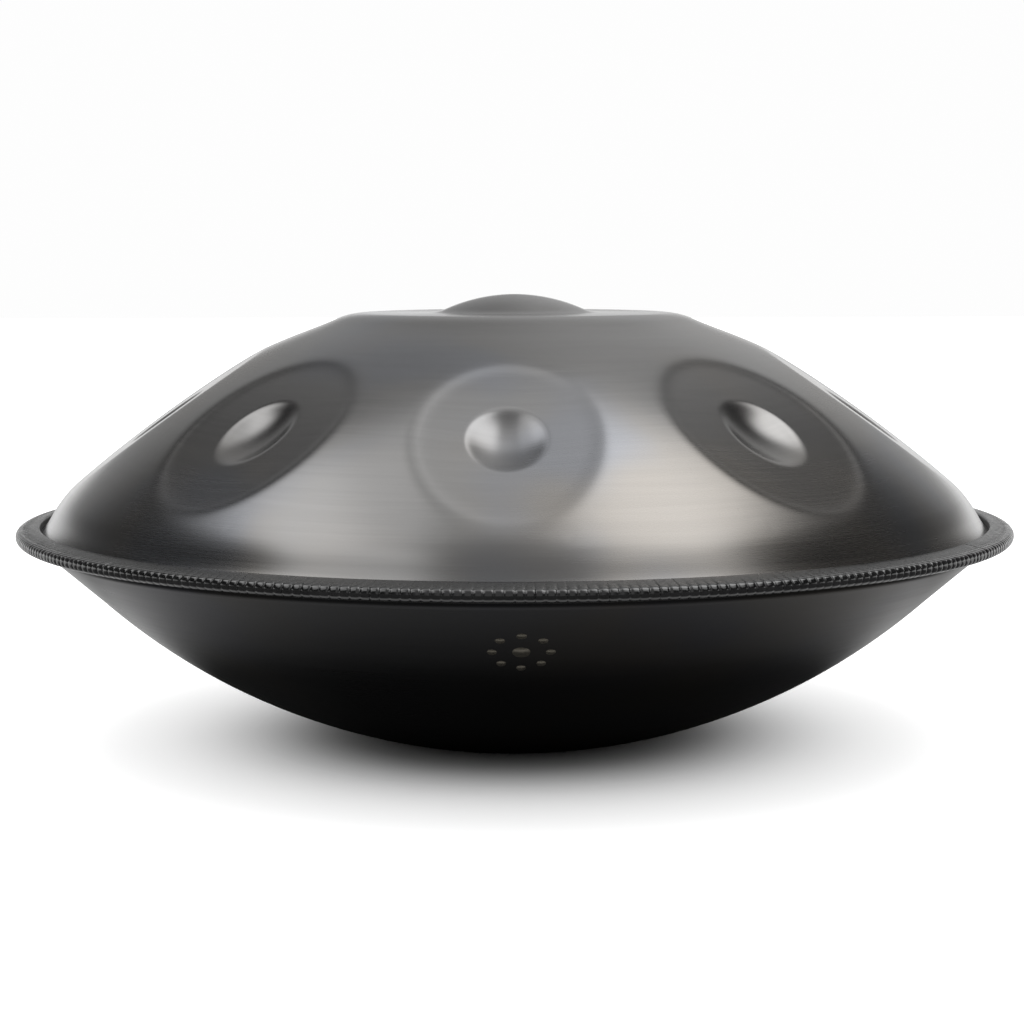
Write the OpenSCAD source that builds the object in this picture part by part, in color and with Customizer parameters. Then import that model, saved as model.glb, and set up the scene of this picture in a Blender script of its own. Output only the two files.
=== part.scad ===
// Handpan: two spherical steel shells glued flange to flange, with a ridged edge trim.
// Origin: centre of the ring that the instrument rests on. +Z up. The shortest tone field faces -Y.

/* [Shells] */
// Radius of the top shell's sphere, at its outer face
dome_r = 328; // [326:1:330]
// Radius of the bottom shell's sphere, at its outer face
bowl_r = 330; // [328:1:332]
// Thickness of the steel sheet
sheet_t = 1.2; // [1:0.1:1.4]
// Outer radius of the two steel flanges
flange_r = 265; // [262:0.5:268]
// Radius where the top shell's foot turns into its flange
foot_r = 253.5; // [252:0.5:254]
// Height of the top sphere's crown above the middle of the rim
top_crown = 126; // [124:0.5:128]
// Depth of the bottom sphere's crown below the middle of the rim
bowl_crown = 120.5; // [119:0.5:122]
// Height of the middle of the rim above the surface it rests on
rim_z = 114; // [113:0.5:115]

/* [Centre note] */
// Height of the flat round the centre note above the middle of the rim
ding_flat_z = 115.7; // [115:0.1:117]
// Radius of that flat
ding_flat_r = 89; // [88:0.5:90]
// Slope of the shoulder from the flat down to the sphere, in degrees
ding_slope = 23.5; // [23.2:0.1:25]
// Radius of the raised dome of the centre note
ding_dome_r = 41.4; // [38:0.2:46]
// Height of that dome above the flat
ding_dome_h = 9.9; // [8:0.1:12]

/* [Tone fields] */
// Angle between the instrument's axis and each field's own axis, in degrees
field_tilt = 35.5; // [35:0.1:36]
// Direction of the smallest field round the axis, in degrees from -Y
field_turn = -1.1; // [-5:0.1:5]
// Half length of the smallest field, up the slope
field_half_l = 59.5; // [57:0.5:61]
// Half width of the smallest field, round the instrument
field_half_w = 45.5; // [44:0.5:47]
// Half length of the smallest dimple, up the slope
dimple_half_l = 23.5; // [22:0.5:25]
// Half width of the smallest dimple
dimple_half_w = 19.5; // [18:0.5:20.5]
// Depth of every dimple below its field
dimple_depth = 5; // [4:0.1:6]

/* [Port] */
// Radius of the port's clear hole
port_r = 50; // [48:0.5:51]
// Height of the turned-in neck above the resting ring
neck_h = 20; // [16:1:24]
// Outer radius of the rolled lip at the foot of the neck
lip_r = 6.2; // [5.4:0.2:6.4]

/* [Flange joint] */
// Thickness of the adhesive between the flanges
glue_t = 0.4; // [0.2:0.1:0.8]

/* [Edge trim] */
// Outer radius of the trim
trim_r = 268; // [267.5:0.1:269]
// Radius of the trim's two inner edges
trim_inner_r = 255.2; // [254.8:0.1:256]
// Thickness across the trim at its inner edges
trim_mouth_t = 9.7; // [9.2:0.1:10.4]
// Thickness across the trim just inside its outer bend
trim_bend_t = 6.6; // [6.4:0.1:7]
// Thickness of the sprung steel channel inside the trim
core_t = 0.6; // [0.5:0.1:0.7]
// Gap where the two ends of the trim meet
joint_gap = 0.8; // [0.4:0.1:1.6]
// Direction of that gap round the axis, in degrees from -Y
joint_turn = 60; // [50:1:70]

/* [Hidden] */
$fn = 192;

// Sphere centres, measured from the middle of the rim.
top_centre_z = top_crown - dome_r;
bowl_centre_z = bowl_r - bowl_crown;

// Flange faces, measured from the middle of the rim.
flange_inner_z = glue_t / 2;
flange_outer_z = flange_inner_z + sheet_t;

// The steeper foot of the top shell leaves the flange at this slope.
foot_slope = 60;
foot_h = 16;
foot_run = foot_h / tan(foot_slope);
flange_start_r = foot_r - sheet_t / sin(foot_slope) + sheet_t / tan(foot_slope);

// Below this radius the bowl is spherical, above it a plain cone up to its own foot.
bowl_cone_r = 225;
bowl_cone_slope = 41.5;
bowl_foot_r = 253;
bowl_cone_z = bowl_centre_z - sqrt(pow(bowl_r, 2) - pow(bowl_cone_r, 2));
bowl_foot_z = bowl_cone_z + (bowl_foot_r - bowl_cone_r) * tan(bowl_cone_slope);

// The shoulder's straight run reaches well inside the sphere.
shoulder_run = 38;
shoulder_drop = shoulder_run * tan(ding_slope);
ding_ball_r = cap_radius(ding_dome_r, ding_dome_h);

// Tone fields in order of pitch, highest first. They alternate left and right and grow towards the back.
// Each is turned this far round from the smallest, in degrees.
field_offsets = [0, -40.6, 40.8, -83.3, 85.1, -131, 132, 180];
field_count = len(field_offsets);
cutter_half_w = 72;
cutter_half_l = 80;
cutter_below = 12;
cutter_above = 8;

// The trim's slot holds the flange pair, and its core lies inside the soft plastic.
trim_bend_r = trim_bend_t / 2;
trim_tip_r = 0.9;
core_inner_r = trim_inner_r + 1.6;
core_outer_r = trim_r - 1.8;
core_inner_z = flange_outer_z + 0.5;
core_chamfer = 1;
joint_angle = 2 * asin(joint_gap / 2 / flange_r);

// Radius of the sphere whose cap has the given base radius and height.
function cap_radius(base_r, height) = (pow(base_r, 2) + pow(height, 2)) / (2 * height);

// Fields and dimples grow fast over the first notes and then slowly.
function growth(i) = pow(i / (field_count - 1), 0.45);
function half_l(i) = field_half_l + 1.1 * i;
function half_w(i) = field_half_w + 11 * growth(i);
function dimple_l(i) = dimple_half_l + 4 * growth(i);
function dimple_w(i) = dimple_half_w + 2.6 * growth(i);

// A field is flat across. Its depth is what makes it reach its full width on the sphere.
function field_depth(i) = dome_r - sqrt(pow(dome_r, 2) - pow(half_w(i), 2));

// Along the slope it bends with this radius, so that it also reaches its full length.
function field_sag(i) = dome_r - field_depth(i) - sqrt(pow(dome_r, 2) - pow(half_l(i), 2));
function field_bend_r(i) = cap_radius(half_l(i), field_sag(i));

// Solid of revolution of the top shell, shrunk by inset for its inner face.
module dome_solid(inset) {
    floor_z = flange_inner_z - inset;
    foot_top_r = foot_r - inset / sin(foot_slope) - foot_run;
    foot_top_z = flange_outer_z + foot_h;
    foot_floor_r = foot_top_r + (foot_top_z - floor_z) / tan(foot_slope);
    flat_z = ding_flat_z - inset;
    flat_r = ding_flat_r - inset * tan(ding_slope / 2);
    rotate_extrude() {
        intersection() {
            translate([0, top_centre_z]) circle(dome_r - inset, $fn = 360);
            polygon([
                [0, floor_z],
                [foot_floor_r, floor_z],
                [foot_top_r, foot_top_z],
                [foot_top_r, flat_z],
                [0, flat_z]
            ]);
        }
        polygon([
            [0, flat_z - shoulder_drop],
            [flat_r + shoulder_run, flat_z - shoulder_drop],
            [flat_r, flat_z],
            [0, flat_z]
        ]);
        intersection() {
            translate([0, ding_flat_z + ding_dome_h - ding_ball_r]) circle(ding_ball_r - inset);
            translate([0, flat_z - 1]) square([ding_ball_r, ding_dome_h + 2]);
        }
    }
}

// Moves its children to the frame of field i: origin at the sphere's centre, +Z out through the field.
module at_field(i) {
    translate([0, 0, top_centre_z])
        rotate([0, 0, field_turn + field_offsets[i]])
        rotate([field_tilt, 0, 0])
        children();
}

// What the press takes off the sphere to leave field i.
module field_cutter(i, inset) {
    bend_r = field_bend_r(i);
    flat_z = dome_r - field_depth(i);
    difference() {
        translate([-cutter_half_w, -cutter_half_l, flat_z - cutter_below])
            cube([2 * cutter_half_w, 2 * cutter_half_l, cutter_below + field_depth(i) + cutter_above]);
        translate([-cutter_half_w - 1, 0, flat_z - bend_r])
            rotate([0, 90, 0])
            cylinder(h = 2 * cutter_half_w + 2, r = bend_r - inset, $fn = 720);
    }
}

// The oval bowl of field i's dimple, longer up the slope than across.
module dimple_cutter(i, inset) {
    long_r = cap_radius(dimple_l(i), dimple_depth);
    cross_r = cap_radius(dimple_w(i), dimple_depth);
    bottom_z = dome_r - field_depth(i) - dimple_depth;
    translate([0, 0, bottom_z + long_r])
        rotate([0, 90, 0])
        rotate_extrude()
        intersection() {
            translate([long_r - cross_r, 0]) circle(cross_r + inset);
            translate([0, -2 * cross_r]) square([3 * long_r, 4 * cross_r]);
        }
}

// One face of the top shell as a solid: its outer face at inset 0, its inner face at inset sheet_t.
module dome_face(inset) {
    difference() {
        dome_solid(inset);
        for (i = [0 : field_count - 1])
            at_field(i) {
                field_cutter(i, inset);
                dimple_cutter(i, inset);
            }
    }
}

// Flat flange ring between two heights, measured from the middle of the rim.
module flange_ring(inner_r, low_z, high_z) {
    rotate_extrude()
        translate([inner_r, low_z])
        square([flange_r - inner_r, high_z - low_z]);
}

module top_shell() {
    color([0.42, 0.41, 0.41])
        translate([0, 0, rim_z])
        union() {
            difference() {
                dome_face(0);
                dome_face(sheet_t);
            }
            flange_ring(flange_start_r, flange_inner_z, flange_outer_z);
        }
}

// Half profile of the bowl's outer face, shrunk by inset for its inner face.
module bowl_profile(inset) {
    floor_z = inset - rim_z;
    cone_run = inset / sin(bowl_cone_slope);
    intersection() {
        translate([0, bowl_centre_z]) circle(bowl_r - inset, $fn = 360);
        translate([0, floor_z]) square([bowl_r, bowl_cone_z - floor_z]);
    }
    polygon([
        [0, bowl_cone_z],
        [bowl_cone_r - cone_run, bowl_cone_z],
        [bowl_foot_r - cone_run, bowl_foot_z],
        [bowl_foot_r - inset, bowl_foot_z],
        [bowl_foot_r - inset, inset - flange_inner_z],
        [0, inset - flange_inner_z]
    ]);
}

// Half profile of the port's neck and of its rolled lip.
module neck_profile() {
    lip_centre_z = lip_r - rim_z;
    translate([port_r, lip_centre_z]) square([sheet_t, neck_h - lip_r]);
    intersection() {
        difference() {
            translate([port_r + lip_r, lip_centre_z]) circle(lip_r, $fn = 96);
            translate([port_r + lip_r, lip_centre_z]) circle(lip_r - sheet_t, $fn = 96);
        }
        translate([port_r, -rim_z]) square([lip_r, lip_r]);
    }
}

module bottom_shell() {
    color([0.09, 0.09, 0.1])
        translate([0, 0, rim_z])
        rotate_extrude() {
            difference() {
                bowl_profile(0);
                bowl_profile(sheet_t);
                translate([0, -rim_z - 1]) square([port_r + lip_r, rim_z]);
            }
            neck_profile();
            translate([bowl_foot_r - sheet_t, -flange_outer_z])
                square([flange_r - bowl_foot_r + sheet_t, sheet_t]);
        }
}

module flange_adhesive() {
    color([0.75, 0.72, 0.62])
        translate([0, 0, rim_z])
        flange_ring(foot_r, -flange_inner_z, flange_inner_z);
}

// Revolves its half profile round the rim, leaving the joint gap open.
module trim_sweep() {
    translate([0, 0, rim_z])
        rotate([0, 0, joint_turn - 90 + joint_angle / 2])
        rotate_extrude(angle = 360 - joint_angle, $fn = 360)
        children();
}

// Half profile of the sprung channel.
module core_profile() {
    half_t = core_inner_z + core_t;
    difference() {
        polygon([
            [core_inner_r, -half_t],
            [core_outer_r - core_chamfer, -half_t],
            [core_outer_r, core_chamfer - half_t],
            [core_outer_r, half_t - core_chamfer],
            [core_outer_r - core_chamfer, half_t],
            [core_inner_r, half_t]
        ]);
        translate([core_inner_r - 1, -core_inner_z])
            square([core_outer_r - core_t - core_inner_r + 1, 2 * core_inner_z]);
    }
}

// Half profile of the soft cover before its slot and its core are taken out.
module cover_profile() {
    bend_x = trim_r - trim_bend_r;
    mouth_z = trim_mouth_t / 2;
    polygon([
        [trim_inner_r, trim_tip_r - mouth_z],
        [trim_inner_r + trim_tip_r, -mouth_z],
        [bend_x, -trim_bend_r],
        [bend_x, trim_bend_r],
        [trim_inner_r + trim_tip_r, mouth_z],
        [trim_inner_r, mouth_z - trim_tip_r]
    ]);
    intersection() {
        translate([bend_x, 0]) circle(trim_bend_r, $fn = 96);
        translate([bend_x, -trim_bend_t]) square([trim_bend_t, 2 * trim_bend_t]);
    }
}

module trim_core() {
    color([0.55, 0.56, 0.58])
        trim_sweep()
        core_profile();
}

module trim_cover() {
    color([0.06, 0.06, 0.07])
        trim_sweep()
        difference() {
            cover_profile();
            translate([trim_inner_r - 1, -flange_outer_z])
                square([flange_r - trim_inner_r + 1, 2 * flange_outer_z]);
            core_profile();
        }
}

top_shell();
bottom_shell();
flange_adhesive();
trim_core();
trim_cover();
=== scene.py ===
"""Looks of the handpan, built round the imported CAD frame. Lengths are in millimetres until a mesh is made."""

import math

import bpy
import numpy as np
from mathutils import Matrix, Vector
from mathutils.geometry import tessellate_polygon


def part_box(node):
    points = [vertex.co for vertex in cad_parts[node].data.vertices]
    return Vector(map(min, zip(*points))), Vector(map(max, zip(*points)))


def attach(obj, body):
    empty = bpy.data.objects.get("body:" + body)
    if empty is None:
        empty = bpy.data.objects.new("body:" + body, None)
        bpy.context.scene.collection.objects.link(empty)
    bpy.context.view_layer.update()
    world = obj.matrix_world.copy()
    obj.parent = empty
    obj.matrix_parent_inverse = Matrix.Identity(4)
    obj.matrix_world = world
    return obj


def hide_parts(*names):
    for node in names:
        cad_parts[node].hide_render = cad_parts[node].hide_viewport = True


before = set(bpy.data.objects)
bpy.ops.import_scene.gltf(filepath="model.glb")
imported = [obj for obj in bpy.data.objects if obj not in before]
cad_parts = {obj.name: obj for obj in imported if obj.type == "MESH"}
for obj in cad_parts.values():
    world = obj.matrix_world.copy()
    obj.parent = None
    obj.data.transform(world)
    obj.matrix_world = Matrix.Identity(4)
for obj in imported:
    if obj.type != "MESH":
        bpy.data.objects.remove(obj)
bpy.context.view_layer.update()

MM = 0.001
ROOT = "root"

# ---------------------------------------------------------------- sizes, as in the CAD model
COVER_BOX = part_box("trim_cover")
RIM_Z = (COVER_BOX[0].z + COVER_BOX[1].z) / 2 / MM
SHEET_T = 1.2
FLANGE_R = 265.0
FLANGE_INNER_Z = 0.2
FLANGE_OUTER_Z = FLANGE_INNER_Z + SHEET_T

DOME_R = 328.0
DOME_TOP_Z = 126.0
TOP_CENTRE_Z = DOME_TOP_Z - DOME_R
DOME_FROM, DOME_TO = 15, 54
FOOT_R = 253.5
FOOT_SLOPE = 60.0
DING_FLAT_Z = 115.7
DING_FLAT_R = 89.0
DING_SLOPE = 23.5
DING_DOME_R = 41.4
DING_DOME_H = 9.9

FIELD_TILT = 35.5
FIELD_TURN = -1.1
FIELD_OFFSETS = (0, -40.6, 40.8, -83.3, 85.1, -131, 132, 180)
FIELD_COUNT = len(FIELD_OFFSETS)
FIELD_GROWTH_POWER = 0.45
FIELD_HALF_L, FIELD_HALF_L_STEP = 59.5, 1.1
FIELD_HALF_W, FIELD_HALF_W_RISE = 45.5, 11
DIMPLE_HALF_L, DIMPLE_HALF_L_RISE = 23.5, 4
DIMPLE_HALF_W, DIMPLE_HALF_W_RISE = 19.5, 2.6
DIMPLE_DEPTH = 5.0

BOWL_R = 330.0
BOWL_DEPTH = 120.5
BOWL_CENTRE_Z = BOWL_R - BOWL_DEPTH
BOWL_CONE_R = 225.0
BOWL_CONE_SLOPE = 41.5
BOWL_FOOT_R = 253.0
PORT_R = 50.0
NECK_H = 20.0
LIP_R = 6.2

TRIM_R = 268.0
TRIM_INNER_R = 255.2
TRIM_MOUTH_T = 9.7
TRIM_BEND_R = 3.3
TRIM_TIP_R = 0.9
CORE_T = 0.6
CORE_CHAMFER = 1.0
CORE_COVER_IN = 1.6
CORE_COVER_OUT = 1.8
CORE_CLEARANCE = 0.5
JOINT_GAP = 0.8
JOINT_TURN = 60.0

BOWL_TURNS = 320
CORE_TURNS = 241


def polar(turn):
    """Direction in the XY plane, turned from -Y towards +X by this many degrees."""
    a = math.radians(turn)
    return np.array([math.sin(a), -math.cos(a), 0.0])


def smoothstep(x):
    x = np.clip(x, 0.0, 1.0)
    return x * x * (3 - 2 * x)


def soft_min(a, b, k):
    """The smaller of a and b, rounded where they are within k of each other."""
    h = np.clip(k - np.abs(a - b), 0.0, None) / k
    return np.minimum(a, b) - h * h * k / 4


# ---------------------------------------------------------------- profiles
def arc(cx, cz, radius, start, end, step=1.0):
    """Points on an arc. Angles are in degrees from +Z towards +X."""
    count = max(2, int(abs(math.radians(end - start)) * radius / step) + 1)
    a = np.radians(np.linspace(start, end, count))
    return np.stack([cx + radius * np.sin(a), cz + radius * np.cos(a)], -1)


def line(*points):
    return np.array(points, float)


def arc_length(path):
    return np.concatenate([[0.0], np.cumsum(np.linalg.norm(np.diff(path, axis=0), axis=1))])


def sample(path, positions):
    s = arc_length(path)
    return np.stack([np.interp(positions, s, path[:, k]) for k in range(path.shape[1])], -1)


def soften(path, corner, before, after=None, steps=16):
    """Replaces the path from before a corner point to after it by one smooth bend."""
    after = before if after is None else after
    s = arc_length(path)
    nearest = int(np.argmin(np.linalg.norm(path - np.array(corner), axis=1)))
    low, high = s[nearest] - before, s[nearest] + after
    lead, start, end, trail = sample(path, [low - 0.2, low, high, high + 0.2])
    t0 = (start - lead) / np.linalg.norm(start - lead)
    t1 = (trail - end) / np.linalg.norm(trail - end)
    h0, h1 = 0.66 * before, 0.66 * after
    u = np.linspace(0, 1, steps)[:, None]
    bend = (
        (1 - u) ** 3 * start
        + 3 * (1 - u) ** 2 * u * (start + h0 * t0)
        + 3 * (1 - u) * u**2 * (end - h1 * t1)
        + u**3 * end
    )
    return np.concatenate([path[s < low], bend, path[s > high]])


def crossing(path, slope_point, slope):
    """First index of the path that lies beyond a falling line through slope_point."""
    x, z = path[:, 0] - slope_point[0], path[:, 1] - slope_point[1]
    return int(np.argmax(z + x * math.tan(math.radians(slope)) > 0))


def dome_profile():
    """Outer face of the top shell from the axis to the edge of its flange, heights from the rim's middle."""
    ball_r = (DING_DOME_R**2 + DING_DOME_H**2) / (2 * DING_DOME_H)
    ball_end = math.degrees(math.asin(DING_DOME_R / ball_r))
    ding = arc(0, DING_FLAT_Z + DING_DOME_H - ball_r, ball_r, 0, ball_end, 0.5)
    flat = line([DING_DOME_R + 1, DING_FLAT_Z], [DING_FLAT_R, DING_FLAT_Z])
    sphere = arc(0, TOP_CENTRE_Z, DOME_R, DOME_FROM, DOME_TO, 0.5)
    start = crossing(sphere, (DING_FLAT_R, DING_FLAT_Z), DING_SLOPE)
    shoulder = line(sphere[start])
    foot_rise = math.tan(math.radians(FOOT_SLOPE))
    past_foot = sphere[:, 0] > FOOT_R - (sphere[:, 1] - FLANGE_OUTER_Z) / foot_rise
    end = int(np.argmax(past_foot))
    foot = line([FOOT_R, FLANGE_OUTER_Z], [FLANGE_R, FLANGE_OUTER_Z])
    path = np.concatenate([ding, flat, sphere[start:end], foot])
    for corner, before, after in (
        ((DING_DOME_R, DING_FLAT_Z), 5.5, 5.5),
        ((DING_FLAT_R, DING_FLAT_Z), 8.0, 8.0),
        (shoulder, 9.0, 9.0),
        (sphere[end], 9.0, 6.0),
        ((FOOT_R, FLANGE_OUTER_Z), 7.0, 1.7),
    ):
        path = soften(path, corner, before, after)
    return path


def bowl_profile():
    """Outer face of the bottom shell from its flange to the neck's end, heights from the rim's middle."""
    rest = -RIM_Z
    cone_z = BOWL_CENTRE_Z - math.sqrt(BOWL_R**2 - BOWL_CONE_R**2)
    foot_z = cone_z + (BOWL_FOOT_R - BOWL_CONE_R) * math.tan(math.radians(BOWL_CONE_SLOPE))
    cone_end = 180 - math.degrees(math.asin(BOWL_CONE_R / BOWL_R))
    flat_r = math.sqrt(BOWL_R**2 - (BOWL_CENTRE_Z - rest) ** 2)
    flat_start = 180 - math.degrees(math.asin(flat_r / BOWL_R))
    sphere = arc(0, BOWL_CENTRE_Z, BOWL_R, cone_end, flat_start, 3.0)
    outer = np.concatenate(
        [
            line([FLANGE_R, -FLANGE_OUTER_Z], [BOWL_FOOT_R, -FLANGE_OUTER_Z], [BOWL_FOOT_R, foot_z]),
            sphere,
            line([PORT_R, rest], [PORT_R, rest + NECK_H]),
        ]
    )
    for corner, reach in (
        ((BOWL_FOOT_R, -FLANGE_OUTER_Z), 1.6),
        ((BOWL_FOOT_R, foot_z), 2.4),
        (sphere[-1], 1.5),
        ((PORT_R, rest), LIP_R),
    ):
        outer = soften(outer, corner, reach, steps=10)
    return outer


def offset_path(path, distance):
    """The path moved to its left by distance."""
    t = np.gradient(path, axis=0)
    t /= np.linalg.norm(t, axis=1)[:, None]
    return path + distance * np.stack([-t[:, 1], t[:, 0]], -1)


# ---------------------------------------------------------------- tone fields
def growth(i):
    """How far a field has grown from the smallest, 0, to the largest, 1."""
    return (i / (FIELD_COUNT - 1)) ** FIELD_GROWTH_POWER


class Field:
    """One tone field: its frame at the sphere's centre and the surfaces pressed into it."""

    STEP = 0.5
    STEP_W = 9.0
    CAP = 0.8 * DOME_R
    MARGIN = 12
    BORDER_BLEND = 0.6
    LIP_BLEND = 1.2

    def __init__(self, i):
        self.half_l = FIELD_HALF_L + FIELD_HALF_L_STEP * i
        self.half_w = FIELD_HALF_W + FIELD_HALF_W_RISE * growth(i)
        self.dimple_l = DIMPLE_HALF_L + DIMPLE_HALF_L_RISE * growth(i)
        self.dimple_w = DIMPLE_HALF_W + DIMPLE_HALF_W_RISE * growth(i)
        out = polar(FIELD_TURN + FIELD_OFFSETS[i])
        tilt = math.radians(FIELD_TILT)
        up = np.array([0.0, 0.0, 1.0])
        self.normal = math.sin(tilt) * out + math.cos(tilt) * up
        self.uphill = math.sin(tilt) * up - math.cos(tilt) * out
        self.across = np.cross(self.uphill, self.normal)
        self.axes = np.stack([self.across, self.uphill, self.normal])
        self.depth = DOME_R - math.sqrt(DOME_R**2 - self.half_w**2)
        sag = DOME_R - self.depth - math.sqrt(DOME_R**2 - self.half_l**2)
        self.bend_r = (self.half_l**2 + sag**2) / (2 * sag)
        self.long_r = (self.dimple_l**2 + DIMPLE_DEPTH**2) / (2 * DIMPLE_DEPTH)
        self.cross_r = (self.dimple_w**2 + DIMPLE_DEPTH**2) / (2 * DIMPLE_DEPTH)

    def local(self, points):
        """Points as (across, uphill, out) from the sphere's centre."""
        return (points - np.array([0, 0, TOP_CENTRE_Z])) @ self.axes.T

    def border(self, x, y):
        """Distance in mm from the field's outline, negative inside it."""
        e = np.sqrt((x / self.half_w) ** 2 + (y / self.half_l) ** 2)
        return (e - 1) * (self.half_w + self.half_l) / 2

    def lip(self, x, y):
        """Distance in mm from the dimple's outline, negative inside it."""
        e = np.sqrt((x / self.dimple_w) ** 2 + (y / self.dimple_l) ** 2)
        return (e - 1) * (self.dimple_w + self.dimple_l) / 2

    def floor(self, x, y):
        """Height of the field's face, bent lengthwise only, with a small step down inside its border."""
        flat = DOME_R - self.depth - self.bend_r + np.sqrt(self.bend_r**2 - y**2)
        return flat - self.STEP * smoothstep(-self.border(x, y) / self.STEP_W)

    def bowl(self, x, y):
        """Height of the dimple's face, a shallow barrel."""
        axis_z = DOME_R - self.depth - DIMPLE_DEPTH + self.long_r
        tube = np.sqrt(np.clip(self.cross_r**2 - x**2, 0, None))
        reach = self.long_r - self.cross_r + tube
        inside = reach**2 - y**2
        z = axis_z - np.sqrt(np.clip(inside, 0, None))
        return np.where((tube > 0) & (inside > 0), z, axis_z)

    def press(self, points):
        """Points of the dome with this field and its dimple pressed into them."""
        p = self.local(points)
        x, y, z = p[:, 0], p[:, 1], p[:, 2]
        near = (z > self.CAP) & (self.border(x, y) < self.MARGIN)
        x, y, z = x[near], y[near], z[near]
        z = soft_min(z, self.floor(x, y), self.BORDER_BLEND)
        z = soft_min(z, self.bowl(x, y), self.LIP_BLEND)
        p[near, 2] = z
        moved = points.copy()
        moved[near] = p[near] @ self.axes + np.array([0, 0, TOP_CENTRE_Z])
        return moved


FIELDS = [Field(i) for i in range(FIELD_COUNT)]


# ---------------------------------------------------------------- meshes
def make_object(name, points, faces):
    """A mesh object from points in millimetres measured from the rim's middle."""
    mesh = bpy.data.meshes.new(name)
    lifted = (np.asarray(points, float) + np.array([0, 0, RIM_Z])) * MM
    mesh.from_pydata(lifted.tolist(), [], [tuple(int(v) for v in f) for f in faces])
    mesh.validate()
    mesh.polygons.foreach_set("use_smooth", [True] * len(mesh.polygons))
    mesh.update()
    obj = bpy.data.objects.new(name, mesh)
    bpy.context.scene.collection.objects.link(obj)
    return obj


class DomeGrid:
    """Outer face of the top shell over a fine lattice of turns and steps along its profile."""

    TURNS = 1536
    ROWS = 376
    BLOCK = 8

    def __init__(self):
        path = dome_profile()
        self.length = arc_length(path)[-1]
        self.path = path
        self.step = self.length / self.ROWS

    def place(self, i, j):
        """Points at lattice places i round the axis and j along the profile."""
        i, j = np.asarray(i, float), np.asarray(j, float)
        rz = sample(self.path, np.clip(j, 0, self.ROWS) * self.step)
        a = i * 2 * math.pi / self.TURNS
        points = np.stack([rz[:, 0] * np.sin(a), -rz[:, 0] * np.cos(a), rz[:, 1]], -1)
        for field in FIELDS:
            points = field.press(points)
        return points

    def normals(self, i, j):
        """Outward unit normals at lattice places, by differences."""
        i, j = np.asarray(i, float), np.asarray(j, float)
        du = self.place(i + 0.5, j) - self.place(i - 0.5, j)
        dv = self.place(i, np.minimum(j + 0.4, self.ROWS)) - self.place(i, np.maximum(j - 0.4, 0.02))
        n = np.cross(dv, du)
        return n / np.linalg.norm(n, axis=1)[:, None]

    def wanted(self, i, j):
        """The largest block, in lattice steps, that a place allows."""
        points = self.place(i, j)
        size = np.full(len(points), self.BLOCK)
        r = np.hypot(points[:, 0], points[:, 1])
        for where, most in (
            (r < DING_DOME_R + 9, 4),
            (np.abs(r - DING_DOME_R) < 6, 2),
            (np.abs(r - DING_FLAT_R) < 12, 4),
            (r > FOOT_R - 9, 4),
            (np.abs(r - FOOT_R) < 5, 2),
        ):
            size[where] = np.minimum(size[where], most)
        for field in FIELDS:
            p = field.local(points)
            close = p[:, 2] > field.CAP
            edge = field.border(p[:, 0], p[:, 1])
            lip = field.lip(p[:, 0], p[:, 1])
            for where, most in (
                (np.abs(edge) < 9, 4),
                (np.abs(edge) < 5, 2),
                (lip < 4, 4),
                (lip < 2, 2),
                (np.abs(lip) < 2.2, 1),
            ):
                size[close & where] = np.minimum(size[close & where], most)
        return size

    def blocks(self, least):
        """Leaf blocks (i, j, size) of the lattice, none smaller than least."""
        todo = [
            (i, j, self.BLOCK)
            for i in range(0, self.TURNS, self.BLOCK)
            for j in range(0, self.ROWS, self.BLOCK)
        ]
        done = []
        while todo:
            size = todo[0][2]
            corner = np.array([(i, j) for i, j, _ in todo], float)
            split = np.zeros(len(todo), bool)
            if size > least:
                for du in (0, 0.25, 0.5, 0.75, 1):
                    for dv in (0, 0.25, 0.5, 0.75, 1):
                        at = corner + np.array([du, dv]) * size
                        split |= self.wanted(at[:, 0], at[:, 1]) < size
            rest = []
            half = size // 2
            for (i, j, _), again in zip(todo, split):
                if again:
                    rest += [(i + a, j + b, half) for a in (0, half) for b in (0, half)]
                else:
                    done.append((i, j, size))
            todo = rest
        return done

    def faces(self, least):
        """Vertex places and faces of the lattice. Each face takes in its finer neighbours' points."""
        blocks = self.blocks(least)
        used = set()
        for i, j, n in blocks:
            used |= {((i + a) % self.TURNS, j + b) for a in (0, n) for b in (0, n)}
        pole = (0, 0)
        places, index = [], {}

        def vertex(i, j):
            key = pole if j == 0 else (i % self.TURNS, j)
            if key not in index:
                index[key] = len(places)
                places.append(key)
            return index[key]

        faces = []
        for i, j, n in blocks:
            rim = [(i + k, j) for k in range(n)] + [(i + n, j + k) for k in range(n)]
            rim += [(i + n - k, j + n) for k in range(n)] + [(i, j + n - k) for k in range(n)]
            loop = []
            for a, b in rim:
                if (a % self.TURNS, b) in used:
                    v = vertex(a, b)
                    if v not in loop:
                        loop.append(v)
            if len(loop) > 2:
                faces.append(loop)
        return places, faces


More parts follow.
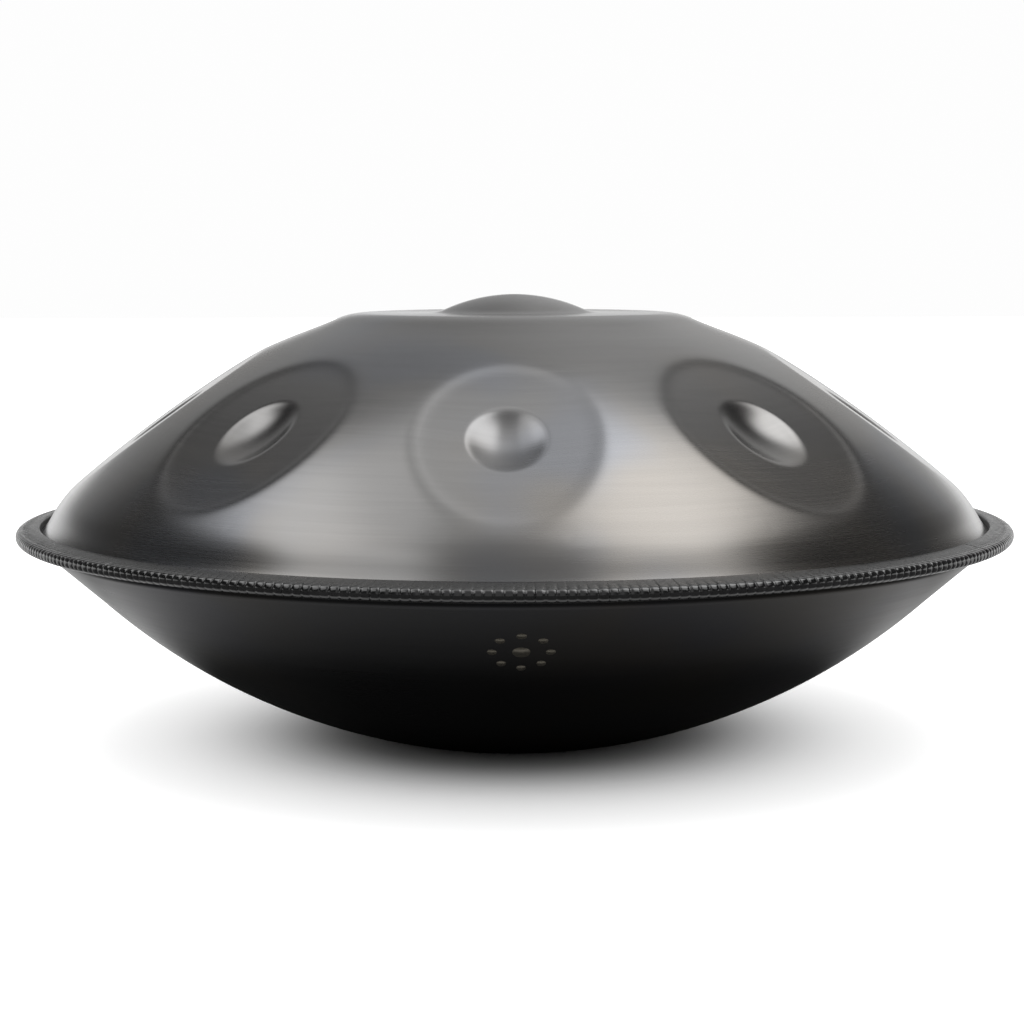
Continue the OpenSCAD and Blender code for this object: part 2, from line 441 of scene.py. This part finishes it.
def top_shell_mesh():
    """The whole top sheet: a fine outer face, a coarser inner one and the flange's edge between them."""
    grid = DomeGrid()
    outer_places, outer_faces = grid.faces(1)
    inner_places, inner_faces = grid.faces(4)
    outer = grid.place(*np.array(outer_places, float).T)
    inner_at = np.array(inner_places, float).T
    inner = grid.place(*inner_at) - SHEET_T * grid.normals(*inner_at)
    for at, points in ((outer_places, outer), (inner_places, inner)):
        pole = [k for k, place in enumerate(at) if place[1] == 0]
        points[pole, :2] = 0
    inner[np.array(inner_places)[:, 1] == 0, 2] = outer[:, 2].max() - SHEET_T
    start = len(outer)
    faces = outer_faces + [[start + v for v in reversed(f)] for f in inner_faces]
    outer_rim = {i: k for k, (i, j) in enumerate(outer_places) if j == grid.ROWS}
    inner_rim = {i: start + k for k, (i, j) in enumerate(inner_places) if j == grid.ROWS}
    shared = sorted(inner_rim)
    turns = sorted(outer_rim)
    two_laps = turns + [t + grid.TURNS for t in turns]
    for a, b in zip(shared, shared[1:] + [shared[0] + grid.TURNS]):
        between = [outer_rim[t % grid.TURNS] for t in two_laps if a <= t <= b]
        faces.append([inner_rim[b % grid.TURNS], inner_rim[a]] + between)
    return np.concatenate([outer, inner]), faces


def revolve(section, count):
    """Turns a closed section of (radius, height) points round the axis."""
    a = np.linspace(0, 2 * math.pi, count, endpoint=False)
    rings = [np.stack([r * np.sin(a), -r * np.cos(a), np.full(count, z)], -1) for r, z in section]
    points = np.concatenate(rings)
    rows = len(section)
    faces = []
    for j in range(rows):
        below, above = j * count, (j + 1) % rows * count
        for i in range(count):
            n = (i + 1) % count
            faces.append((below + i, above + i, above + n, below + n))
    return points, faces


def bottom_shell_mesh():
    """The whole bottom sheet: its outer face and the same one sheet further in."""
    outer = bowl_profile()
    inner = offset_path(outer, -SHEET_T)
    inner[0] = (FLANGE_R, -FLANGE_INNER_Z)
    section = np.concatenate([outer, inner[::-1]])
    return revolve(section, BOWL_TURNS)


RIDGE_COUNT = 366
RIDGE_DEPTH = 0.42
RIDGE_PHASES = (0.0, 0.07, 0.16, 0.32, 0.68, 0.84, 0.93)
RIDGE_FALLS = (1.0, 0.5, 0.12, 0.0, 0.0, 0.12, 0.5)
RIDGE_DEPTH_SPREAD = 0.22
RIDGE_LEAN_SPREAD = 0.05
RIDGE_LEAST_DEPTH = 0.45
RIDGE_FADE = ((2.2, 0.04), (4.2, 0.14), (5.8, 0.35), (7.2, 0.7))
BEND_FROM = 6
TIP_CUT_R, TIP_CUT_Z = 0.25, 0.28
COVER_INSET = 0.05


def cover_section():
    """The trim's outer loop as (radius, height, share of the ridges' depth), from its slot round and back."""
    mouth_z = TRIM_MOUTH_T / 2
    bend_x = TRIM_R - TRIM_BEND_R
    tip_x = TRIM_INNER_R + TRIM_TIP_R
    upper = [
        (FLANGE_R, 0.0, 0),
        (FLANGE_R, FLANGE_OUTER_Z, 0),
        (TRIM_INNER_R, FLANGE_OUTER_Z, 0),
        (TRIM_INNER_R, mouth_z - TRIM_TIP_R, 0),
        (TRIM_INNER_R + TIP_CUT_R, mouth_z - TIP_CUT_Z, 0),
        (tip_x, mouth_z, 0),
    ]
    slope = (mouth_z - TRIM_BEND_R) / (bend_x - tip_x)
    for reach, share in RIDGE_FADE:
        upper.append((tip_x + reach, mouth_z - slope * reach, share))
    bend = arc(bend_x, 0, TRIM_BEND_R, BEND_FROM, 90, 0.75)
    upper += [(x, z, 1.0) for x, z in bend]
    lower = [(r, -z, share) for r, z, share in upper[-2:0:-1]]
    return np.array(upper + lower)


def core_section():
    """The sprung channel's section, as in the CAD model."""
    inner_r, outer_r = TRIM_INNER_R + CORE_COVER_IN, TRIM_R - CORE_COVER_OUT
    low = FLANGE_OUTER_Z + CORE_CLEARANCE
    half = low + CORE_T
    web = outer_r - CORE_T
    upper = [
        (web, low),
        (inner_r, low),
        (inner_r, half),
        (outer_r - CORE_CHAMFER, half),
        (outer_r, half - CORE_CHAMFER),
    ]
    return np.array(upper + [(r, -z) for r, z in reversed(upper)])


def trim_cover_mesh():
    """The trim's cover: uneven ridges round its bend, a hollow for the core, and two cut ends."""
    rng = np.random.default_rng(7)
    section = cover_section()
    gap = math.degrees(JOINT_GAP / FLANGE_R)
    first = JOINT_TURN + gap / 2
    pitch = (360 - gap) / RIDGE_COUNT
    turns, falls = [], []
    for k in range(RIDGE_COUNT):
        depth = 1 + RIDGE_DEPTH_SPREAD * rng.standard_normal()
        lean = RIDGE_LEAN_SPREAD * rng.standard_normal()
        for phase, fall in zip(RIDGE_PHASES, RIDGE_FALLS):
            turns.append(first + pitch * (k + phase + (lean if phase > 0 else 0)))
            falls.append(fall * max(RIDGE_LEAST_DEPTH, depth))
    turns.append(first + pitch * RIDGE_COUNT)
    falls.append(1.0)
    turns[0], falls[0] = first, 1.0
    tangent = np.roll(section[:, :2], -1, axis=0) - np.roll(section[:, :2], 1, axis=0)
    tangent /= np.linalg.norm(tangent, axis=1)[:, None]
    outward = np.stack([tangent[:, 1], -tangent[:, 0]], -1)
    away = section[:, :2] - np.array([TRIM_R - TRIM_BEND_R, 0])
    outward *= np.sign((outward * away).sum(1))[:, None]
    rows, columns = len(section), len(turns)
    points = np.zeros((columns, rows, 3))
    for c, (turn, fall) in enumerate(zip(turns, falls)):
        sunk = (RIDGE_DEPTH * fall + COVER_INSET) * section[:, 2]
        moved = section[:, :2] - outward * sunk[:, None]
        points[c] = moved[:, :1] * polar(turn) + moved[:, 1:] * np.array([0, 0, 1.0])
    faces = []
    for c in range(columns - 1):
        for k in range(rows):
            n = (k + 1) % rows
            faces.append((c * rows + k, (c + 1) * rows + k, (c + 1) * rows + n, c * rows + n))
    core = core_section()
    core_turns = np.linspace(turns[0], turns[-1], CORE_TURNS)
    core_points = np.array([[r * polar(t) + z * np.array([0, 0, 1.0]) for r, z in core] for t in core_turns])
    start, sides = rows * columns, len(core)
    for c in range(len(core_turns) - 1):
        for k in range(sides):
            n = (k + 1) % sides
            a, b = start + c * sides, start + (c + 1) * sides
            faces.append((a + n, b + n, b + k, a + k))
    all_points = np.concatenate([points.reshape(-1, 3), core_points.reshape(-1, 3)])
    for last in (False, True):
        outer = (columns - 1 if last else 0) * rows + np.arange(rows)
        inner = start + ((len(core_turns) - 1) if last else 0) * sides + np.arange(sides)
        flat = [[Vector((r, z, 0)) for r, z in section[:, :2]], [Vector((r, z, 0)) for r, z in core]]
        ids = np.concatenate([outer, inner])
        for tri in tessellate_polygon(flat):
            face = ids[list(tri)]
            faces.append(tuple(face if last else face[::-1]))
    return all_points, faces


MARK_R = 229.0
MARK_TURN = 0.7
MARK_RING_R = 13.6
MIDDLE_DOT_R = 4.2
RING_DOT_R = 2.3
DOT_SINK, DOT_LIFT = -0.1, 0.05


def mark_mesh():
    """Nine plain etched dots on the front of the bowl, laid out like the notes."""
    path = bowl_profile()
    s = arc_length(path)
    centre = s[int(np.argmin(np.abs(path[:, 0] - MARK_R)))]
    points, faces = [], []

    def spot(across, down, radius, sides=32):
        """Adds one flat dot that follows the bowl."""
        start = len(points)
        for lift in (DOT_SINK, DOT_LIFT):
            for k in range(sides):
                a = 2 * math.pi * k / sides
                at = centre + down + radius * math.sin(a)
                (r, z), (r1, z1) = sample(path, [at, at + 0.2])
                out = np.array([z - z1, r1 - r]) / math.hypot(z - z1, r1 - r)
                turn = MARK_TURN + math.degrees((across + radius * math.cos(a)) / MARK_R)
                drop = np.array([0, 0, z - lift * abs(out[1])])
                points.append((r + lift * out[0]) * polar(turn) + drop)
        faces.append([start + sides + k for k in range(sides)])
        faces.append([start + k for k in reversed(range(sides))])
        for k in range(sides):
            n = (k + 1) % sides
            faces.append((start + k, start + n, start + sides + n, start + sides + k))

    spot(0, 0, MIDDLE_DOT_R)
    for k in range(FIELD_COUNT):
        a = 2 * math.pi * k / FIELD_COUNT
        spot(MARK_RING_R * math.sin(a), MARK_RING_R * math.cos(a), RING_DOT_R)
    return np.array(points), faces


# ---------------------------------------------------------------- materials
class Nodes:
    """Short names for building a node tree."""

    def __init__(self, tree):
        self.tree = tree
        self.shader = tree.nodes.get("Principled BSDF")

    def add(self, kind, **settings):
        node = self.tree.nodes.new(kind)
        for key, value in settings.items():
            setattr(node, key, value)
        return node

    def link(self, a, b):
        self.tree.links.new(a, b)

    def value(self, socket, x):
        """Sets an input to a number or links it to a socket."""
        if isinstance(x, bpy.types.NodeSocket):
            self.link(x, socket)
        else:
            socket.default_value = x

    def math(self, operation, a, b=0.0, clamp=False):
        node = self.add("ShaderNodeMath", operation=operation, use_clamp=clamp)
        self.value(node.inputs[0], a)
        self.value(node.inputs[1], b)
        return node.outputs[0]

    def mix(self, factor, a, b, blend="MIX"):
        node = self.add("ShaderNodeMix", data_type="RGBA", blend_type=blend)
        self.value(node.inputs[0], factor)
        self.value(node.inputs[6], a)
        self.value(node.inputs[7], b)
        return node.outputs[2]

    def ramp(self, factor, low, high, to_low=0.0, to_high=1.0):
        node = self.add("ShaderNodeMapRange", interpolation_type="SMOOTHSTEP")
        self.value(node.inputs["Value"], factor)
        for key, x in (("From Min", low), ("From Max", high), ("To Min", to_low), ("To Max", to_high)):
            node.inputs[key].default_value = x
        return node.outputs["Result"]

    def window(self, x, low, high, soft):
        """One between low and high, with soft edges."""
        rise = self.ramp(x, low - soft, low + soft)
        return self.math("MULTIPLY", rise, self.ramp(x, high - soft, high + soft, 1.0, 0.0))

    def noise(self, vector, scale, detail=4.0, roughness=0.55):
        node = self.add("ShaderNodeTexNoise")
        self.value(node.inputs["Vector"], vector)
        node.inputs["Scale"].default_value = scale
        node.inputs["Detail"].default_value = detail
        node.inputs["Roughness"].default_value = roughness
        return node.outputs["Fac"]

    def place(self):
        """Object coordinates: the vector and its x, y and z."""
        coordinates = self.add("ShaderNodeTexCoord").outputs["Object"]
        split = self.add("ShaderNodeSeparateXYZ")
        self.link(coordinates, split.inputs[0])
        return coordinates, split.outputs[0], split.outputs[1], split.outputs[2]

    def join(self, x, y, z):
        node = self.add("ShaderNodeCombineXYZ")
        for socket, part in zip(node.inputs, (x, y, z)):
            self.value(socket, part)
        return node.outputs[0]

    def bump(self, height, strength, distance, normal=None):
        node = self.add("ShaderNodeBump")
        node.inputs["Strength"].default_value = strength
        node.inputs["Distance"].default_value = distance
        self.value(node.inputs["Height"], height)
        if normal is not None:
            self.link(normal, node.inputs["Normal"])
        return node.outputs[0]

    def ring_strokes(self, x, y, z, round_scale, slope_scale):
        """Coordinates that stretch a noise round the axis, so that it reads as turned brush lines."""
        r = self.math("SQRT", self.math("ADD", self.math("MULTIPLY", x, x), self.math("MULTIPLY", y, y)))
        safe = self.math("MAXIMUM", r, 0.001)
        cx = self.math("MULTIPLY", self.math("DIVIDE", x, safe), round_scale)
        cy = self.math("MULTIPLY", self.math("DIVIDE", y, safe), round_scale)
        along = self.math("SUBTRACT", self.math("MULTIPLY", r, 0.8), self.math("MULTIPLY", z, 0.6))
        return self.join(cx, cy, self.math("MULTIPLY", along, slope_scale)), r

    def set(self, **values):
        for key, x in values.items():
            self.value(self.shader.inputs[key.replace("_", " ")], x)


def new_material(name):
    """A new material and the builder of its node tree."""
    material = bpy.data.materials.new(name)
    material.use_nodes = True
    return material, Nodes(material.node_tree)


def steel_material(name, base, warm, cool, roughness, stroke_depth, anisotropic):
    """Turned steel with heat tints: brush lines round the axis, and slow changes of colour and gloss."""
    material, n = new_material(name)
    coordinates, x, y, z = n.place()
    fine, _ = n.ring_strokes(x, y, z, 3.0, 1600.0)
    coarse, _ = n.ring_strokes(x, y, z, 2.5, 260.0)
    strokes = n.noise(fine, 1.0, 3.0, 0.7)
    bands = n.noise(coarse, 1.0, 2.0, 0.6)
    cloud = n.noise(coordinates, 5.5, 3.0, 0.5)
    other = n.noise(coordinates, 9.0, 2.0, 0.5)
    tint = n.mix(n.ramp(cloud, 0.44, 0.66), (*base, 1), (*warm, 1))
    tint = n.mix(n.ramp(other, 0.52, 0.70), tint, (*cool, 1))
    streak = n.math("ADD", n.ramp(strokes, 0.3, 0.7, 0.975, 1.02), n.ramp(bands, 0.3, 0.7, -0.02, 0.02))
    streaked = n.mix(1.0, tint, n.join(streak, streak, streak), "MULTIPLY")
    brushed = n.ramp(strokes, 0.25, 0.75, roughness - 0.015, roughness + 0.015)
    n.set(
        Base_Color=streaked,
        Metallic=1.0,
        Roughness=n.math("ADD", brushed, n.ramp(cloud, 0.35, 0.7, -0.02, 0.03)),
        Anisotropic=anisotropic,
        Anisotropic_Rotation=0.25,
    )
    tangent = n.add("ShaderNodeTangent", direction_type="RADIAL", axis="Z")
    n.link(tangent.outputs[0], n.shader.inputs["Tangent"])
    n.set(Normal=n.bump(strokes, stroke_depth, 0.0002))
    return material


POLISH_FROM, POLISH_TO = 0.2625, 0.2655


def cover_material():
    """Black soft plastic: a dull leather-like grain on its flat faces, polished ridges round its bend."""
    material, n = new_material("trim_cover_plastic")
    coordinates, x, y, z = n.place()
    r = n.math("SQRT", n.math("ADD", n.math("MULTIPLY", x, x), n.math("MULTIPLY", y, y)))
    polished = n.ramp(r, POLISH_FROM, POLISH_TO)
    grain = n.add("ShaderNodeTexVoronoi", feature="DISTANCE_TO_EDGE")
    n.link(coordinates, grain.inputs["Vector"])
    grain.inputs["Scale"].default_value = 900.0
    creases = n.ramp(grain.outputs["Distance"], 0.0, 0.18)
    soft = n.noise(coordinates, 420.0, 3.0)
    worn = n.noise(coordinates, 40.0, 4.0)
    dull = n.ramp(soft, 0.3, 0.7, 0.26, 0.38)
    slick = n.ramp(soft, 0.3, 0.7, 0.08, 0.14)
    unpolished = n.math("SUBTRACT", 1.0, polished)
    rough = n.math("ADD", n.math("MULTIPLY", dull, unpolished), n.math("MULTIPLY", slick, polished))
    black, dusty = (0.002, 0.002, 0.0021, 1), (0.0045, 0.0045, 0.0046, 1)
    n.set(
        Base_Color=n.mix(n.ramp(worn, 0.35, 0.7), black, dusty),
        Roughness=rough,
        Specular_IOR_Level=0.9,
    )
    height = n.math("ADD", n.math("MULTIPLY", creases, 0.5), n.math("MULTIPLY", soft, 0.6))
    mostly_flat = n.math("MULTIPLY", height, n.ramp(r, POLISH_FROM, POLISH_TO, 1.0, 0.06))
    n.set(Normal=n.bump(mostly_flat, 0.35, 0.0003))
    return material


def glue_material():
    """Cured structural adhesive: matte, slightly yellow and uneven."""
    material, n = new_material("flange_glue")
    coordinates, *_ = n.place()
    uneven = n.noise(coordinates, 160.0, 4.0)
    n.set(
        Base_Color=n.mix(uneven, (0.42, 0.38, 0.29, 1), (0.58, 0.54, 0.43, 1)),
        Roughness=n.ramp(uneven, 0.3, 0.7, 0.5, 0.7),
        Normal=n.bump(uneven, 0.4, 0.0003),
    )
    return material


def core_material():
    """Rolled spring steel strip with lengthwise rolling marks."""
    material, n = new_material("core_spring_steel")
    _, x, y, z = n.place()
    lines, _ = n.ring_strokes(x, y, z, 4.0, 2500.0)
    marks = n.noise(lines, 1.0, 2.0)
    n.set(
        Base_Color=n.mix(marks, (0.34, 0.34, 0.35, 1), (0.5, 0.5, 0.52, 1)),
        Metallic=1.0,
        Roughness=n.ramp(marks, 0.3, 0.7, 0.28, 0.42),
    )
    return material


def mark_material():
    """Etched dots: the bare steel's dull warm grey, lighter than the bowl's near-black colour, which is partly
    its dark finish and partly painted shade.
    """
    material, n = new_material("etched_dots")
    coordinates, *_ = n.place()
    speckle = n.noise(coordinates, 1500.0, 2.0)
    n.set(
        Base_Color=n.mix(speckle, (0.13, 0.12, 0.10, 1), (0.19, 0.175, 0.145, 1)),
        Metallic=1.0,
        Roughness=n.ramp(speckle, 0.3, 0.7, 0.4, 0.5),
    )
    return material


# ---------------------------------------------------------------- the object
def add_piece(name, mesh, material, slot, *replaced):
    """A new piece of the visual model, which may stand for CAD nodes."""
    piece = make_object(name, *mesh)
    piece.data.materials.append(material)
    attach(piece, ROOT)
    if replaced:
        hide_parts(*replaced)
    return piece


TOP_STEEL = steel_material(
    "top_shell_steel",
    base=(0.205, 0.202, 0.199),
    warm=(0.218, 0.205, 0.190),
    cool=(0.192, 0.196, 0.208),
    roughness=0.25,
    stroke_depth=0.004,
    anisotropic=0.5,
)
# The bowl's near-black colour is partly its darker finish and partly painted shade: the shade under the
# downward-facing bowl is put into its colour.
BOWL_STEEL_WITH_PAINTED_SHADE = steel_material(
    "bottom_shell_steel",
    base=(0.034, 0.034, 0.035),
    warm=(0.037, 0.034, 0.031),
    cool=(0.032, 0.032, 0.036),
    roughness=0.3,
    stroke_depth=0.01,
    anisotropic=0.3,
)

add_piece("top_shell_skin", top_shell_mesh(), TOP_STEEL, "top_shell", "top_shell")
add_piece("bottom_shell_skin", bottom_shell_mesh(), BOWL_STEEL_WITH_PAINTED_SHADE, "bottom_shell", "bottom_shell")
add_piece("trim_cover_ridged", trim_cover_mesh(), cover_material(), "trim_cover", "trim_cover")
add_piece("etched_dots", mark_mesh(), mark_material(), "bottom_shell")
for node, material in (("flange_adhesive", glue_material()), ("trim_core", core_material())):
    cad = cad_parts[node]
    for slot in cad.material_slots:
        slot.material = material


# ---------------------------------------------------------------- the studio
DIFFUSE_LIGHT = 1.72
REFLECTED_LIGHT = 0.55
DARK_STUDIO = 0.045
BACKDROP = 0.985
PAPER_HALF = 8.0


def floor():
    """White paper with a painted contact shadow: its colour darkens towards the object's middle, and a faint
    painted glow from the paper itself, which is no lamp, brightens it away from the object. Glossy rays see it
    darkened, a painted shade in the dark steel's reflections, except in a ring round the object and behind it.
    """
    mesh = bpy.data.meshes.new("floor")
    corners = [(PAPER_HALF * a, PAPER_HALF * b, 0) for a, b in ((-1, -1), (1, -1), (1, 1), (-1, 1))]
    mesh.from_pydata(corners, [], [(0, 1, 2, 3)])
    obj = bpy.data.objects.new("floor", mesh)
    bpy.context.scene.collection.objects.link(obj)
    material, n = new_material("floor_paper")
    coordinates, _, y, _ = n.place()
    length = n.add("ShaderNodeVectorMath", operation="LENGTH")
    n.link(coordinates, length.inputs[0])
    reach = length.outputs["Value"]
    paper = n.mix(n.noise(coordinates, 3.0), (0.90, 0.90, 0.90, 1), (0.92, 0.92, 0.92, 1))
    # Painted contact shadow: the paper's colour falls to a dark grey near the object's middle.
    paper_with_painted_shadow = n.mix(n.ramp(reach, 0.04, 0.17), (0.12, 0.12, 0.12, 1), paper)
    # Painted shade in reflections: rays from the steel see the paper darkened, to 0.03 next to the object and
    # about 0.14 far off in front and to the sides, and at full brightness only in a ring round the object and
    # behind it; the painted glow is dimmed the same way.
    ring = n.math("MULTIPLY", n.ramp(reach, 0.18, 0.262, 0.03, 1.08), n.ramp(reach, 0.285, 0.335, 1.0, 0.13))
    behind = n.math("MULTIPLY", n.ramp(y, -0.15, 0.25), n.ramp(reach, 0.2, 0.3))
    mirrored = n.math("MAXIMUM", ring, behind)
    glossy = n.add("ShaderNodeLightPath").outputs["Is Glossy Ray"]
    seen = n.math("SUBTRACT", 1.0, n.math("MULTIPLY", glossy, n.math("SUBTRACT", 1.0, mirrored)))
    n.set(
        Base_Color=n.mix(1.0, paper_with_painted_shadow, n.join(seen, seen, seen), "MULTIPLY"),
        Emission_Color=(1, 1, 1, 1),
        # Painted glow: the paper gives off light, though it is no lamp, rising away from the object and so
        # steepening the painted contact shadow.
        Emission_Strength=n.math("MULTIPLY", seen, n.ramp(reach, 0.09, 0.20, 0.0, 0.34)),
        Roughness=0.9,
        Specular_IOR_Level=0.1,
    )
    mesh.materials.append(material)
    return obj


def studio_world():
    """The studio as the metal mirrors it, by direction: mostly dark, with the lights listed below.

    Each light is a strength and two masks. Diffuse light is even, and the lens sees a plain white backdrop.
    """
    world = bpy.data.worlds.new("studio")
    world.use_nodes = True
    n = Nodes(world.node_tree)
    n.tree.nodes.clear()
    split = n.add("ShaderNodeSeparateXYZ")
    n.link(n.add("ShaderNodeTexCoord").outputs["Generated"], split.inputs[0])
    x, y, z = split.outputs
    side = n.math("ABSOLUTE", x)
    turn = n.math("DIVIDE", side, n.math("MAXIMUM", y, 0.05))
    box_depth = n.window(y, -0.235, 0.35, 0.12)
    glow = n.math("MULTIPLY", n.ramp(turn, 0.40, 0.95, 1.0, 0.06), n.ramp(y, 0.0, 0.25))
    glow = n.math("MULTIPLY", glow, n.ramp(x, -0.2, 0.18, 0.66, 1.03))
    back_glow = (1.0, glow, n.ramp(z, 0.1, 0.5, 0.5, 0.68))
    right_box = (3.35, n.window(x, 0.14, 0.57, 0.08), box_depth)
    left_box = (2.4, n.window(x, -0.66, -0.40, 0.06), box_depth)
    left_box_edge = (1.6, n.window(x, -0.40, -0.20, 0.06), n.window(y, -0.205, 0.35, 0.12))
    middle = (1.05, n.window(x, -0.20, 0.14, 0.08), n.window(y, -0.215, 0.34, 0.16))
    back_corners = (0.11, n.ramp(side, 0.38, 0.60), n.ramp(y, 0.5, 0.75))
    front_wings = (1.5, n.window(side, 0.27, 0.70, 0.08), n.window(y, -0.60, -0.22, 0.10))
    front_fill = (0.38, n.ramp(y, -0.4, -0.1, 1.0, 0.0), n.ramp(side, 0.2, 0.5, 1.0, 0.0))
    boxes = [right_box, left_box, left_box_edge, middle]
    level = DARK_STUDIO
    for strength, first, second in [back_glow] + boxes + [back_corners, front_wings, front_fill]:
        level = n.math("ADD", level, n.math("MULTIPLY", n.math("MULTIPLY", first, second), strength))
    sweep = n.math("MULTIPLY", n.ramp(z, 0.05, 0.26, 1.3, 0.0), n.ramp(y, -0.6, -0.1, 0.1, 1.0))
    level = n.math("MAXIMUM", level, sweep)
    path = n.add("ShaderNodeLightPath")
    direct, mirrored = (DIFFUSE_LIGHT,) * 3 + (1,), (REFLECTED_LIGHT,) * 3 + (1,)
    diffuse = n.mix(path.outputs["Glossy Depth"], direct, mirrored)
    plain = n.mix(path.outputs["Is Camera Ray"], diffuse, (BACKDROP,) * 3 + (1,))
    seen = n.mix(path.outputs["Is Glossy Ray"], plain, n.join(level, level, level))
    background = n.add("ShaderNodeBackground")
    n.link(seen, background.inputs["Color"])
    n.link(background.outputs[0], n.add("ShaderNodeOutputWorld").inputs[0])
    world.cycles.sampling_method = "NONE"
    bpy.context.scene.world = world


CAMERA_AT = (-0.0014, -1.2447, 0.2618)
CAMERA_PITCH = 0.11305
CAMERA_ROLL = -0.0015
LENS = 80.2617


def camera():
    """A long lens a little above the rim, pitched down and rolled a hair. Angles are in radians."""
    data = bpy.data.cameras.new("camera")
    data.sensor_width = 36.0
    data.lens = LENS
    data.clip_end = 50
    obj = bpy.data.objects.new("camera", data)
    aim = Matrix.Rotation(math.pi / 2 - CAMERA_PITCH, 4, "X") @ Matrix.Rotation(CAMERA_ROLL, 4, "Z")
    obj.matrix_world = Matrix.Translation(CAMERA_AT) @ aim
    bpy.context.scene.collection.objects.link(obj)
    bpy.context.scene.camera = obj


bpy.context.scene.view_settings.view_transform = "Standard"
floor()
studio_world()
camera()
